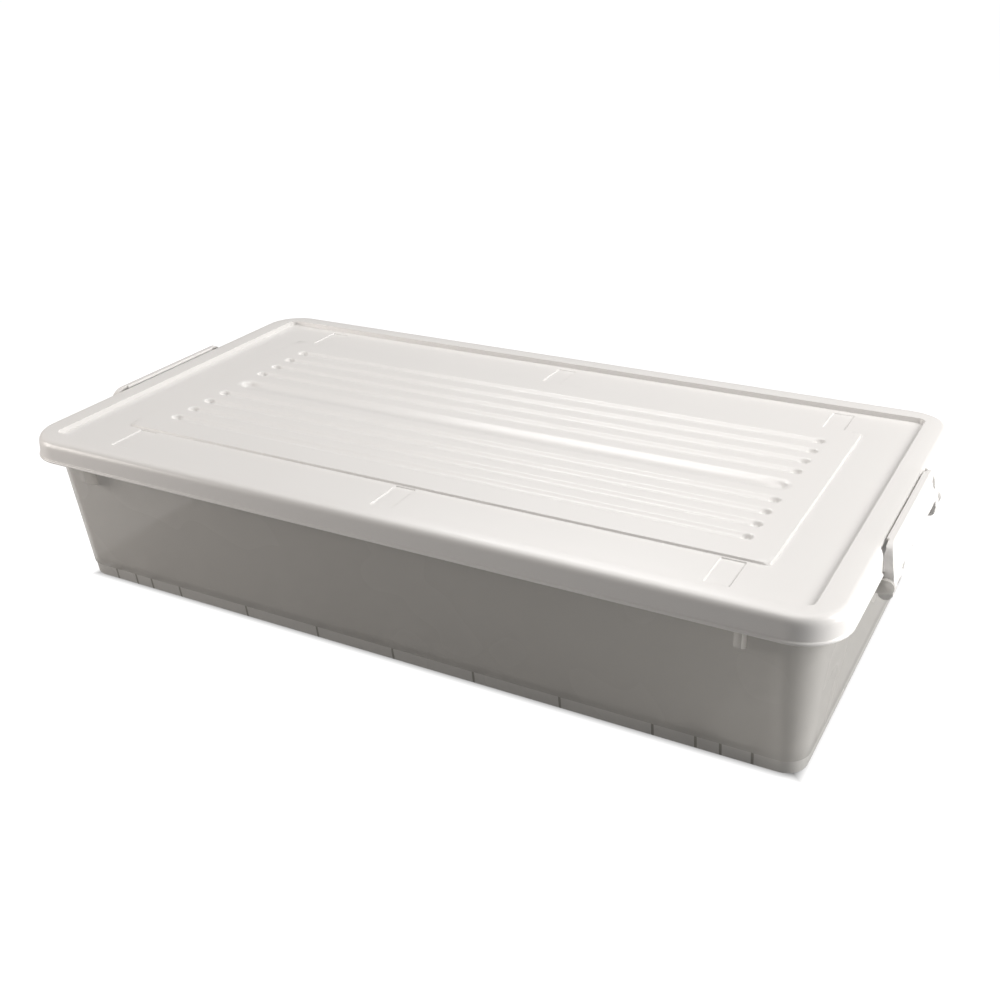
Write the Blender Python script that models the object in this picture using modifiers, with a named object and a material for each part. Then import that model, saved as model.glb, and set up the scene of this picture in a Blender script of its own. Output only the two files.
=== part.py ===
"""Under bed box: see-through tub on six wheels, lift-off lid, a fold-down handle on each short end.

Metres. +X runs along the length to the right handle, +Z is up. The origin is on the floor under the
middle of the box, and the wheels stand on z = 0.
"""

from math import cos, pi, radians, sin

import bmesh
import bpy
from mathutils import Matrix, Vector

# lid: half length, half width and corner radius at the bead round its lower edge
LID_X, LID_Y, LID_R = 0.390, 0.2085, 0.041
LID_TOP, LID_LOW, LID_WALL = 0.160, 0.139, 0.0024
PANEL_X, PANEL_Y, PANEL_R, PANEL_DROP = 0.364, 0.185, 0.007, 0.0045
PLATE_X, PLATE_Y, PLATE_R, PLATE_RISE = 0.318, 0.1355, 0.005, 0.0018
FLUTE_END, FLUTE_PITCH, FLUTE_WIDTH, FLUTE_DEPTH = 0.294, 0.0237, 0.011, 0.0013
WIDE_FLUTE, FIRST_FLUTE_Y, FLUTES_A_SIDE = 0.024, 0.0304, 4
PARK_WIDTH, PARK_Y, PARK_LENGTH, PARK_DEPTH = 0.020, 0.1575, 0.036, 0.0010

# tub: the wall leans out from the foot to the rim
FOOT_X, FOOT_Y, FOOT_R, FOOT_Z = 0.3646, 0.1753, 0.019, 0.0035
RIM_X, RIM_Y, RIM_R, RIM_Z = 0.3746, 0.1934, 0.033, 0.1515
TUB_WALL, FLANGE, BAND_IN, BAND_Z = 0.0023, 0.0054, 0.0009, 0.0165
FLOOR_Z, FLOOR_T = 0.0165, 0.0025
RIB_T, RIB_LOW = 0.0018, 0.0060
CROSS_RIB_PITCH, CROSS_RIBS_A_SIDE = 0.0815, 4
LONG_RIB_YS = (-0.127, -0.059, 0.059, 0.127)
TAB_X, TAB_T, TAB_OUT, TAB_HEIGHT = 0.317, 0.006, 0.0100, 0.035

# wheels, three a side, each on its own steel pin in a housing that rises through the floor
WHEEL_PITCH, WHEEL_Y, WHEEL_R, WHEEL_WIDTH = 0.2905, 0.1575, 0.012, 0.012
BORE_R, PIN_R, PIN_LENGTH, PIN_HOLE_R = 0.0024, 0.0020, 0.025, 0.0023
WELL_WIDTH, WELL_LENGTH, WELL_TOP, WELL_WALL = 0.018, 0.028, 0.027, 0.0021

# handles, and the lugs on the tub that their pegs turn in
PIVOT_X, PIVOT_Z, PEG_R, PEG_HOLE_R = 0.3915, 0.1305, 0.0024, 0.00275
NOTCH_X, NOTCH_Y, NOTCH_R = 0.3843, 0.0862, 0.0155
HANDLE_Y, HANDLE_R, HANDLE_TOP, HANDLE_WALL = 0.0830, 0.0150, 0.1615, 0.0026
ARM_WIDTH, BOSS_WIDTH = 0.0115, 0.0100
LUG_IN, LUG_T, PEG_DEPTH = 0.0840, 0.0034, 0.0022
GRIP_Y, GRIP_RIDGE, TOP_LIP_Y = 0.047, 0.0008, 0.0655

SIDES = (-1, 1)
ALONG_Y = Matrix(((1, 0, 0, 0), (0, 0, -1, 0), (0, 1, 0, 0), (0, 0, 0, 1)))  # outline in X and Z
ALONG_X = Matrix(((0, 0, 1, 0), (1, 0, 0, 0), (0, 1, 0, 0), (0, 0, 0, 1)))  # outline in Y and Z


def startClean():
    for obj in list(bpy.data.objects):
        bpy.data.objects.remove(obj, do_unlink=True)


def newCollection(name):
    collection = bpy.data.collections.new(name)
    bpy.context.scene.collection.children.link(collection)
    return collection


def newObject(name, bm, collection):
    mesh = bpy.data.meshes.new(name)
    bm.to_mesh(mesh)
    bm.free()
    obj = bpy.data.objects.new(name, mesh)
    collection.objects.link(obj)
    return obj


def material(name, colour, roughness, metallic=0.0):
    mat = bpy.data.materials.new(name)
    mat.use_nodes = True
    shader = mat.node_tree.nodes["Principled BSDF"]
    shader.inputs["Base Color"].default_value = (*colour, 1.0)
    shader.inputs["Roughness"].default_value = roughness
    shader.inputs["Metallic"].default_value = metallic
    return mat


def arc(centre, radius, start, end, steps):
    angles = [radians(start + (end - start) * i / steps) for i in range(steps + 1)]
    return [(centre[0] + radius * cos(a), centre[1] + radius * sin(a)) for a in angles]


def roundedRectangle(halfX, halfY, radius, steps=8):
    points = []
    for quarter, (sx, sy) in enumerate(((1, 1), (-1, 1), (-1, -1), (1, -1))):
        centre = (sx * (halfX - radius), sy * (halfY - radius))
        points += arc(centre, radius, 90 * quarter, 90 * quarter + 90, steps)
    return points


def loft(name, rings, collection, capTop=False, capBottom=False):
    """A skin through rounded rectangles, each given as (half length, half width, radius, height)."""
    bm = bmesh.new()
    loops = [[bm.verts.new((x, y, z)) for x, y in roundedRectangle(hx, hy, r)] for hx, hy, r, z in rings]
    count = len(loops[0])
    for lower, upper in zip(loops, loops[1:]):
        for i in range(count):
            bm.faces.new((lower[i], lower[(i + 1) % count], upper[(i + 1) % count], upper[i]))
    if capTop:
        bm.faces.new(loops[-1])
    if capBottom:
        bm.faces.new(loops[0][::-1])
    return newObject(name, bm, collection)


def boxes(name, places, collection):
    """Closed boxes in one object, each given as (size, centre)."""
    bm = bmesh.new()
    for size, centre in places:
        made = bmesh.ops.create_cube(bm, size=1.0)["verts"]
        bmesh.ops.scale(bm, vec=Vector(size), verts=made)
        bmesh.ops.translate(bm, vec=Vector(centre), verts=made)
    return newObject(name, bm, collection)


def rods(name, radius, length, axis, centres, sides, collection):
    turn = {"X": Matrix.Rotation(pi / 2, 4, "Y"), "Y": Matrix.Rotation(pi / 2, 4, "X")}[axis]
    bm = bmesh.new()
    for centre in centres:
        bmesh.ops.create_cone(
            bm, cap_ends=True, segments=sides, radius1=radius, radius2=radius, depth=length,
            matrix=Matrix.Translation(centre) @ turn,
        )
    return newObject(name, bm, collection)


def slab(name, outlines, thickness, frame, centre, collection):
    """Flat outlines made into slabs: frame turns them, and centre is where the slabs' middle lies."""
    curve = bpy.data.curves.new(name, "CURVE")
    curve.dimensions = "2D"
    curve.fill_mode = "BOTH"
    curve.extrude = thickness / 2
    for outline in outlines:
        spline = curve.splines.new("POLY")
        spline.points.add(len(outline) - 1)
        for point, (u, v) in zip(spline.points, outline):
            point.co = (u, v, 0.0, 1.0)
        spline.use_cyclic_u = True
    flat = bpy.data.objects.new(f"{name}_outline", curve)
    collection.objects.link(flat)
    flat.matrix_world = Matrix.Translation(centre) @ frame
    bpy.context.view_layer.update()
    mesh = bpy.data.meshes.new_from_object(flat.evaluated_get(bpy.context.evaluated_depsgraph_get()))
    bm = bmesh.new()
    bm.from_mesh(mesh)
    bmesh.ops.remove_doubles(bm, verts=bm.verts, dist=1e-6)
    bmesh.ops.recalc_face_normals(bm, faces=bm.faces)
    obj = newObject(name, bm, collection)
    obj.matrix_world = flat.matrix_world
    bpy.data.objects.remove(flat, do_unlink=True)
    return obj


def combine(obj, other, operation):
    modifier = obj.modifiers.new(other.name, "BOOLEAN")
    modifier.operation = operation
    modifier.solver = "EXACT"
    modifier.object = other
    other.hide_render = True
    other.display_type = "WIRE"


def solidify(obj, thickness):
    modifier = obj.modifiers.new("wall", "SOLIDIFY")
    modifier.thickness = thickness
    modifier.offset = -1.0
    modifier.use_even_offset = True


def settled(obj, name, origin, collection):
    """A new object with obj's finished shape, its origin moved onto the joint's axis."""
    bpy.context.view_layer.update()
    mesh = bpy.data.meshes.new_from_object(obj.evaluated_get(bpy.context.evaluated_depsgraph_get()))
    mesh.name = name
    mesh.transform(Matrix.Translation(-Vector(origin)) @ obj.matrix_world)
    made = bpy.data.objects.new(name, mesh)
    made.location = origin
    collection.objects.link(made)
    bpy.data.objects.remove(obj, do_unlink=True)
    return made


def wallSection(z, inset=0.0):
    share = (z - FOOT_Z) / (RIM_Z - FOOT_Z)
    x, y, r = (low + (high - low) * share - inset for low, high in ((FOOT_X, RIM_X), (FOOT_Y, RIM_Y), (FOOT_R, RIM_R)))
    return x, y, r, z


def wheelPlaces():
    columns = (("left", -WHEEL_PITCH), ("middle", 0.0), ("right", WHEEL_PITCH))
    return {
        f"{row}_{column}": Vector((x, y, WHEEL_R))
        for row, y in (("front", -WHEEL_Y), ("back", WHEEL_Y))
        for column, x in columns
    }


def makeTub(parts, cutters):
    underFlange = RIM_Z - TUB_WALL
    rings = [
        wallSection(FOOT_Z, BAND_IN + 0.0004), wallSection(FOOT_Z + 0.0006, BAND_IN),
        wallSection(BAND_Z - 0.0004, BAND_IN), wallSection(BAND_Z, 0.0), wallSection(underFlange, 0.0),
        (*wallSection(RIM_Z, -FLANGE)[:3], underFlange),
    ]
    tub = loft("tub", rings, parts)
    solidify(tub, TUB_WALL)

    x, y, r, _ = wallSection(FLOOR_Z - FLOOR_T, BAND_IN + 0.0010)
    floorMiddle = (0, 0, FLOOR_Z - FLOOR_T / 2)
    combine(tub, slab("floor", [roundedRectangle(x, y, r)], FLOOR_T, Matrix(), floorMiddle, cutters), "UNION")
    addRibs(tub, x, y, cutters)
    addWheelHousings(tub, cutters)
    addTabs(tub, cutters)
    addLugs(tub, cutters)
    tub.data.materials.append(material("clear_plastic", (0.80, 0.79, 0.77), 0.35))


def addRibs(tub, insideX, insideY, cutters):
    ribHeight = FLOOR_Z - 0.0004 - RIB_LOW
    middle = RIB_LOW + ribHeight / 2
    across = [side * CROSS_RIB_PITCH * n for n in range(1, CROSS_RIBS_A_SIDE + 1) for side in SIDES]
    size = (RIB_T, 2 * insideY, ribHeight)
    combine(tub, boxes("cross_ribs", [(size, (x, 0, middle)) for x in across], cutters), "UNION")
    size = (2 * insideX, RIB_T, ribHeight)
    combine(tub, boxes("long_ribs", [(size, (0, y, middle)) for y in LONG_RIB_YS], cutters), "UNION")


def addWheelHousings(tub, cutters):
    places = wheelPlaces().values()
    outerSize = (WELL_WIDTH + 2 * WELL_WALL, WELL_LENGTH + 2 * WELL_WALL, WELL_TOP + WELL_WALL - RIB_LOW)
    middle = (WELL_TOP + WELL_WALL + RIB_LOW) / 2
    housings = [(outerSize, (p.x, p.y, middle)) for p in places]
    combine(tub, boxes("housings", housings, cutters), "UNION")
    pocketSize = (WELL_WIDTH, WELL_LENGTH, WELL_TOP)
    pockets = [(pocketSize, (p.x, p.y, WELL_TOP / 2)) for p in places]
    combine(tub, boxes("pockets", pockets, cutters), "DIFFERENCE")
    holeLength = WELL_WIDTH + 2 * WELL_WALL + 0.004
    combine(tub, rods("pin_holes", PIN_HOLE_R, holeLength, "X", places, 16, cutters), "DIFFERENCE")


def addTabs(tub, cutters):
    """Four upright tabs on the long walls, under the rim, that keep stacked boxes apart."""
    top = RIM_Z - 0.001
    wallY = wallSection(top)[1]
    low = top - TAB_HEIGHT
    outline = [
        (wallY - 0.0015, top), (wallY + TAB_OUT, top), (wallY + TAB_OUT, low + 0.011), (wallY - 0.0045, low),
    ]
    for sy in SIDES:
        flat = [(sy * y, z) for y, z in outline]
        for sx in SIDES:
            tab = slab(f"tab_{sx}_{sy}", [flat], TAB_T, ALONG_X, (sx * TAB_X, 0, 0), cutters)
            combine(tub, tab, "UNION")


def addLugs(tub, cutters):
    """Two plates on each short wall, with a blind hole each for the handle's peg."""
    inside = wallSection(PIVOT_Z)[0] - 0.0015
    outline = [(inside, 0.1372), (inside, 0.1235), (0.3840, 0.1246), (0.3915, 0.1248), (0.3968, 0.1262)]
    outline += [(0.3992, 0.1282), (0.3997, 0.1312), (0.3978, 0.1352), (0.3940, 0.1372)]
    for sx in SIDES:
        flat = [(sx * x, z) for x, z in outline]
        for sy in SIDES:
            plateY = sy * (LUG_IN + LUG_T / 2)
            combine(tub, slab(f"lug_{sx}_{sy}", [flat], LUG_T, ALONG_Y, (0, plateY, 0), cutters), "UNION")
    holes = [(sx * PIVOT_X, sy * LUG_IN, PIVOT_Z) for sx in SIDES for sy in SIDES]
    combine(tub, rods("peg_holes", PEG_HOLE_R, 2 * PEG_DEPTH, "Y", holes, 20, cutters), "DIFFERENCE")


def lidSection(z, inset):
    return LID_X - inset, LID_Y - inset, LID_R - inset, z


def panelSection(z, inset):
    return PANEL_X - inset, PANEL_Y - inset, max(PANEL_R - inset, 0.003), z


def plateSection(z, inset):
    return PLATE_X - inset, PLATE_Y - inset, PLATE_R - inset, z


def capsule(length, width, centreY):
    """Outline of a straight groove with round ends."""
    h = width / 2
    right = arc((length / 2 - h, centreY), h, -90, 90, 8)
    left = arc((h - length / 2, centreY), h, 90, 270, 8)
    return right + left


def arch(halfWidth, top, radius, low):
    """Outline of an upright plate with rounded upper corners."""
    centre = (halfWidth - radius, top - radius)
    right = arc(centre, radius, 0, 90, 8)
    left = [(-u, v) for u, v in right[::-1]]
    return [(halfWidth, low)] + right + left + [(-halfWidth, low)]


def makeLid(parts, cutters):
    panelZ = LID_TOP - PANEL_DROP
    plateZ = panelZ + PLATE_RISE
    rings = [
        lidSection(LID_LOW, 0.0005), lidSection(LID_LOW + 0.0005, 0.0), lidSection(LID_LOW + 0.0022, 0.0),
        lidSection(LID_LOW + 0.0028, 0.0012), lidSection(LID_TOP - 0.0055, 0.0020),
        lidSection(LID_TOP - 0.0028, 0.0029), lidSection(LID_TOP - 0.0009, 0.0046), lidSection(LID_TOP, 0.0070),
        panelSection(LID_TOP, -0.0006), panelSection(LID_TOP - 0.0006, 0.0), panelSection(panelZ, 0.0012),
        plateSection(panelZ, -0.0010), plateSection(plateZ, 0.0),
    ]
    lid = loft("lid", rings, parts, capTop=True)
    solidify(lid, LID_WALL)

    rows = [side * (FIRST_FLUTE_Y + FLUTE_PITCH * n) for n in range(FLUTES_A_SIDE) for side in SIDES]
    flutes = [capsule(2 * FLUTE_END, WIDE_FLUTE, 0.0)] + [capsule(2 * FLUTE_END, FLUTE_WIDTH, y) for y in rows]
    fluteHeight = 0.006
    fluteMiddle = (0, 0, plateZ - FLUTE_DEPTH + fluteHeight / 2)
    combine(lid, slab("flutes", flutes, fluteHeight, Matrix(), fluteMiddle, cutters), "DIFFERENCE")
    parkSize = (PARK_WIDTH, PARK_LENGTH, 0.008)
    parkZ = panelZ - PARK_DEPTH + 0.004
    parks = [(parkSize, (x, sy * PARK_Y, parkZ)) for x in (-WHEEL_PITCH, 0.0, WHEEL_PITCH) for sy in SIDES]
    combine(lid, boxes("parking_spots", parks, cutters), "DIFFERENCE")
    for sx in SIDES:
        addNotch(lid, sx, cutters)
    lid.data.materials.append(material("lid_plastic", (0.86, 0.85, 0.83), 0.4))


def addNotch(lid, sx, cutters):
    """The lid's end steps in behind the handle: a wall is added inside the skirt, then the skirt is cut."""
    wall = 0.0022
    low = LID_LOW + 0.0003
    backX, frontX, outX = NOTCH_X - wall, 0.3868, 0.402
    backing = arch(NOTCH_Y + wall, LID_TOP - 0.0010, NOTCH_R + wall, low)
    middle = (sx * (backX + frontX) / 2, 0, 0)
    combine(lid, slab(f"notch_wall_{sx}", [backing], frontX - backX, ALONG_X, middle, cutters), "UNION")
    opening = arch(NOTCH_Y, LID_TOP + 0.0025, NOTCH_R, LID_LOW - 0.004)
    middle = (sx * (NOTCH_X + outX) / 2, 0, 0)
    combine(lid, slab(f"notch_{sx}", [opening], outX - NOTCH_X, ALONG_X, middle, cutters), "DIFFERENCE")


def handleSide():
    """Side view of the handle: an arm with its foot round the peg and the top turned in over the lid's edge."""
    top = [(0.3853, 0.1588), (0.3853, 0.1610), (0.3860, 0.1615), (0.3914, 0.1615), (0.3929, 0.1602)]
    front = [(0.3949, 0.1532), (0.3970, 0.1408), (0.3986, 0.1283)]
    foot = [(0.3981, 0.1218), (0.3955, 0.1184), (0.3915, 0.1173), (0.3875, 0.1195), (0.3856, 0.1240)]
    back = [(0.3853, 0.1320), (0.3878, 0.1376), (0.3899, 0.1404), (0.3882, 0.1460), (0.3876, 0.1588)]
    return top + front + foot + back


def barSection():
    """The bar between the arms: a slightly hollow web over a ledge and a lip."""
    outer = [(0.3927, 0.1610), (0.3928, 0.1510), (0.3936, 0.1466), (0.3954, 0.1442), (0.3972, 0.1434)]
    outer += [(0.3976, 0.1424), (0.3976, 0.1338)]
    inner = [(0.3950, 0.1338), (0.3950, 0.1409), (0.3929, 0.1420), (0.3910, 0.1458), (0.3903, 0.1510)]
    return outer + inner + [(0.3901, 0.1610)]


def gripSection():
    """Block under each end of the bar, with three ridges across its face and a rounded underside."""
    face, ridgePitch = 0.3962, 0.0033
    points = [(0.3890, 0.1350), (face, 0.1350)]
    for n in range(3):
        z = 0.1318 - n * ridgePitch
        points += [(face, z), (face + GRIP_RIDGE, z - 0.0004), (face + GRIP_RIDGE, z - 0.0016), (face, z - 0.0020)]
    under = arc((face - 0.006, 0.1235), 0.006, 0, -90, 6)
    return points + under + [(0.3875, 0.1180), (0.3875, 0.1340)]


def makeHandles(parts, cutters):
    handle = slab("bar", [barSection()], 2 * HANDLE_Y - 0.001, ALONG_Y, (0, 0, 0), cutters)
    low, hoopX, outX = 0.110, 0.3874, 0.4020
    outside = arch(HANDLE_Y + 0.0004, HANDLE_TOP + 0.0004, HANDLE_R, low)
    inside = arch(HANDLE_Y - HANDLE_WALL, HANDLE_TOP - HANDLE_WALL, HANDLE_R - HANDLE_WALL, low)
    hoopMiddle = ((hoopX + outX) / 2, 0, 0)
    hoop = slab("hoop", [outside + inside[::-1]], outX - hoopX, ALONG_X, hoopMiddle, cutters)
    combine(handle, hoop, "UNION")
    lipSize = (0.0060, 2 * TOP_LIP_Y, HANDLE_WALL + 0.0004)
    lipMiddle = (0.3853 + lipSize[0] / 2 - 0.0004, 0, HANDLE_TOP - HANDLE_WALL + lipSize[2] / 2)
    combine(handle, boxes("top_lip", [(lipSize, lipMiddle)], cutters), "UNION")
    strip = [(0.3903, 0.1612), (0.3923, 0.1532), (0.3944, 0.1408), (0.3960, 0.1283), (0.3960, 0.1170)]
    strip += [(0.4000, 0.1170), (0.4000, 0.1612)]
    for sy in SIDES:
        armY = sy * (HANDLE_Y - ARM_WIDTH / 2)
        combine(handle, slab(f"arm_face_{sy}", [strip], ARM_WIDTH, ALONG_Y, (0, armY, 0), cutters), "UNION")
        bossY = sy * (HANDLE_Y - BOSS_WIDTH / 2)
        boss = boxes(f"boss_{sy}", [((0.018, BOSS_WIDTH, 0.0212), (0.3930, bossY, 0.1270))], cutters)
        combine(handle, boss, "UNION")
        gripEnd = HANDLE_Y - ARM_WIDTH + 0.0010
        gripY = sy * (GRIP_Y + gripEnd) / 2
        grip = slab(f"grip_{sy}", [gripSection()], gripEnd - GRIP_Y, ALONG_Y, (0, gripY, 0), cutters)
        combine(handle, grip, "UNION")
    side = slab("side_view", [handleSide()], 0.2, ALONG_Y, (0, 0, 0), cutters)
    combine(handle, side, "INTERSECT")
    front = slab("front_view", [arch(HANDLE_Y, HANDLE_TOP, HANDLE_R, low)], 0.03, ALONG_X, (0.392, 0, 0), cutters)
    combine(handle, front, "INTERSECT")
    pegLength = PEG_DEPTH + LUG_IN - HANDLE_Y + 0.0007
    pegCentres = [(PIVOT_X, sy * (HANDLE_Y - 0.001 + pegLength / 2), PIVOT_Z) for sy in SIDES]
    combine(handle, rods("pegs", PEG_R, pegLength, "Y", pegCentres, 20, cutters), "UNION")

    plastic = material("handle_plastic", (0.88, 0.87, 0.85), 0.4)
    right = settled(handle, "right_handle", (PIVOT_X, 0, PIVOT_Z), parts)
    right.data.materials.clear()
    right.data.materials.append(plastic)
    left = bpy.data.objects.new("left_handle", right.data)
    left.location = (-PIVOT_X, 0, PIVOT_Z)
    left.rotation_euler = (0, 0, pi)
    parts.objects.link(left)


def wheelMesh(parts, cutters):
    """Turned round Z: a tyre-less hard wheel, dished on both faces, with a bore for its pin."""
    half, rim, hub, dish = WHEEL_WIDTH / 2, 0.0088, 0.0048, 0.0012
    profile = [
        (BORE_R, half), (hub, half), (hub + 0.0004, half - dish), (rim, half - dish), (rim + 0.0004, half),
        (WHEEL_R - 0.0008, half), (WHEEL_R, half - 0.0008),
    ]
    profile += [(r, -z) for r, z in profile[::-1]]
    mesh = bpy.data.meshes.new("wheel_profile")
    count = len(profile)
    mesh.from_pydata([(r, 0, z) for r, z in profile], [(i, (i + 1) % count) for i in range(count)], [])
    turned = bpy.data.objects.new("wheel_profile", mesh)
    cutters.objects.link(turned)
    screw = turned.modifiers.new("turn", "SCREW")
    screw.axis = "Z"
    screw.steps = 24
    screw.render_steps = 24
    screw.use_merge_vertices = True
    screw.merge_threshold = 0.00001
    wheel = settled(turned, "wheel", (0, 0, 0), parts)
    mesh = wheel.data
    bpy.data.objects.remove(wheel, do_unlink=True)
    mesh.transform(Matrix.Rotation(pi / 2, 4, "Y"))
    mesh.materials.append(material("wheel_plastic", (0.16, 0.155, 0.15), 0.55))
    return mesh


def pinMesh(cutters):
    pin = rods("axle_pin", PIN_R, PIN_LENGTH, "X", [(0, 0, 0)], 16, cutters)
    mesh = pin.data
    bpy.data.objects.remove(pin, do_unlink=True)
    mesh.materials.append(material("pin_steel", (0.45, 0.45, 0.46), 0.3, 1.0))
    return mesh


def makeWheels(parts, cutters):
    meshes = {"wheel": wheelMesh(parts, cutters), "axle_pin": pinMesh(cutters)}
    for place, centre in wheelPlaces().items():
        for kind, mesh in meshes.items():
            obj = bpy.data.objects.new(f"{place}_{kind}", mesh)
            obj.location = centre
            parts.objects.link(obj)


def shadeSmooth(parts):
    for mesh in {obj.data for obj in parts.objects}:
        mesh.shade_smooth()
        mesh.set_sharp_from_angle(angle=radians(35))


def main():
    startClean()
    parts = newCollection("under_bed_box")
    cutters = newCollection("cutters")
    makeTub(parts, cutters)
    makeLid(parts, cutters)
    makeHandles(parts, cutters)
    makeWheels(parts, cutters)
    shadeSmooth(parts)


main()
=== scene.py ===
import math

import bmesh
import bpy
import numpy as np
from mathutils import Matrix, Vector


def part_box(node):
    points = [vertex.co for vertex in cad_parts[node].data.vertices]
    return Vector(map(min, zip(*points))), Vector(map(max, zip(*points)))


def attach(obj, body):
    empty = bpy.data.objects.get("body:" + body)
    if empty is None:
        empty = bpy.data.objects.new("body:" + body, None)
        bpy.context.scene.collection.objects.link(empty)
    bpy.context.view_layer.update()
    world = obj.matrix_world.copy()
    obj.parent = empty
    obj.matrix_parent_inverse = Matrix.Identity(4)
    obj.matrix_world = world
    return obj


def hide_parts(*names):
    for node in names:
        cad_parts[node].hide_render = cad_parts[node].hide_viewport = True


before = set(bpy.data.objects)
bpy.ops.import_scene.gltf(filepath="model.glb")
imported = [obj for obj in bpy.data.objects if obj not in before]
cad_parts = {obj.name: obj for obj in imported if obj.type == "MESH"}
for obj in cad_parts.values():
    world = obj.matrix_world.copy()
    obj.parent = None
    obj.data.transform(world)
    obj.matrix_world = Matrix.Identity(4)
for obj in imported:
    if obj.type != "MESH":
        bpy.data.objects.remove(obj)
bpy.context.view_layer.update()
lidLow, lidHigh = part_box("lid")
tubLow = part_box("tub")[0]
mm = 0.001

cameraView = {
    "azimuth": 29.48, "elevation": 25.77, "roll": -1.79,
    "distance": 1.207, "target": (0.0, 0.0234, 0.0815),
    "lens": 44.38, "shiftX": 0.0009, "shiftY": -0.0087,
}


def makeCamera(view):
    az, el = math.radians(view["azimuth"]), math.radians(view["elevation"])
    away = Vector((math.sin(az) * math.cos(el), -math.cos(az) * math.cos(el), math.sin(el)))
    data = bpy.data.cameras.new("camera")
    data.lens = view["lens"]
    data.sensor_width = 36
    data.shift_x, data.shift_y = view["shiftX"], view["shiftY"]
    cam = bpy.data.objects.new("camera", data)
    bpy.context.scene.collection.objects.link(cam)
    spot = Vector(view["target"]) + away * view["distance"]
    roll = Matrix.Rotation(math.radians(view["roll"]), 4, "Z")
    aim = (-away).to_track_quat("-Z", "Y").to_matrix().to_4x4()
    cam.matrix_world = Matrix.Translation(spot) @ aim @ roll
    bpy.context.scene.camera = cam


# a soft key from the right, a broad light overhead, a window behind that shows in the flutes,
# a low light on the right end and a weak warm fill at front left
studio = {
    "lights": {
        "key": {"at": (1.65, 0.35, 1.15), "size": (0.9, 0.9), "power": 27, "colour": (1.0, 0.985, 0.965)},
        "overhead": {"at": (-0.3, 0.5, 2.3), "size": (1.8, 1.8), "power": 23, "colour": (1.0, 0.985, 0.97)},
        "window": {"at": (-0.75, 1.55, 1.75), "size": (0.9, 0.4), "power": 9, "colour": (1.0, 1.0, 1.0)},
        "endLight": {"at": (2.0, 0.3, 0.16), "size": (0.7, 0.3), "power": 19, "colour": (1.0, 0.99, 0.975)},
        "fill": {"at": (-1.35, -0.8, 0.42), "size": (0.6, 0.6), "power": 11, "colour": (1.0, 0.94, 0.89)},
    },
    "sky": 0.09, "backdrop": 1.0, "floorSeen": 1.0, "floorBounce": 0.13,
    "underX": 0.366, "underY": 0.176, "underSoft": 0.012,
}


def makeLights(light):
    for name, spec in light["lights"].items():
        data = bpy.data.lights.new(name, "AREA")
        data.shape = "RECTANGLE"
        data.size, data.size_y = spec["size"]
        data.energy = spec["power"]
        data.color = spec["colour"]
        lamp = bpy.data.objects.new(name, data)
        spot = Vector(spec["at"])
        aim = (-spot).to_track_quat("-Z", "Y").to_matrix().to_4x4()
        lamp.matrix_world = Matrix.Translation(spot) @ aim
        bpy.context.scene.collection.objects.link(lamp)
    world = bpy.data.worlds.new("studio")
    bpy.context.scene.world = world
    world.use_nodes = True
    nodes, links = world.node_tree.nodes, world.node_tree.links
    seen = nodes.new("ShaderNodeLightPath")
    plain = nodes["Background"]
    plain.inputs["Color"].default_value = (1.0, 0.98, 0.95, 1)
    plain.inputs["Strength"].default_value = light["sky"]
    backdrop = nodes.new("ShaderNodeBackground")
    backdrop.inputs["Color"].default_value = (1, 1, 1, 1)
    backdrop.inputs["Strength"].default_value = light["backdrop"]
    mix = nodes.new("ShaderNodeMixShader")
    links.new(seen.outputs["Is Camera Ray"], mix.inputs[0])
    links.new(plain.outputs[0], mix.inputs[1])
    links.new(backdrop.outputs[0], mix.inputs[2])
    links.new(mix.outputs[0], nodes["World Output"].inputs["Surface"])


# white paper: bright all round the box, with a painted shadow where the box stands on it
def makeFloor(light):
    bpy.ops.mesh.primitive_plane_add(size=40, location=(0, 0, 0))
    floor = bpy.context.object
    floor.name = "floor"
    mat, tree, shader = newShader("floorPaper")
    nodes, link = tree.nodes, tree.links.new
    shader.inputs["Base Color"].default_value = (0.2, 0.2, 0.2, 1)
    shader.inputs["Roughness"].default_value = 0.9
    shader.inputs["Specular IOR Level"].default_value = 0.0
    shader.inputs["Emission Color"].default_value = (1, 1, 1, 1)
    split = nodes.new("ShaderNodeSeparateXYZ")
    link(nodes.new("ShaderNodeTexCoord").outputs["Object"], split.inputs[0])
    sides = []
    for axis, half in (("X", light["underX"]), ("Y", light["underY"])):
        edge = nodes.new("ShaderNodeMapRange")
        edge.inputs["From Min"].default_value = half - light["underSoft"]
        edge.inputs["From Max"].default_value = half
        link(mathOf(tree, "ABSOLUTE", split.outputs[axis]), edge.inputs["Value"])
        sides.append(edge.outputs["Result"])
    # no glow inside the box's footprint: the dark paper there is a painted shadow under the box
    outside = mathOf(tree, "MAXIMUM", *sides)
    seen = nodes.new("ShaderNodeLightPath")
    strength = nodes.new("ShaderNodeMapRange")
    strength.inputs["To Min"].default_value = light["floorBounce"]
    strength.inputs["To Max"].default_value = light["floorSeen"]
    link(seen.outputs["Is Camera Ray"], strength.inputs["Value"])
    link(mathOf(tree, "MULTIPLY", outside, strength.outputs["Result"]), shader.inputs["Emission Strength"])
    floor.data.materials.append(mat)


def newShader(name):
    mat = bpy.data.materials.new(name)
    mat.use_nodes = True
    return mat, mat.node_tree, mat.node_tree.nodes["Principled BSDF"]


def mathOf(tree, operation, a, b=None):
    node = tree.nodes.new("ShaderNodeMath")
    node.operation = operation
    for socket, value in zip(node.inputs, (a, b)):
        if isinstance(value, (int, float)):
            socket.default_value = value
        elif value is not None:
            tree.links.new(value, socket)
    return node.outputs[0]


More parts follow.
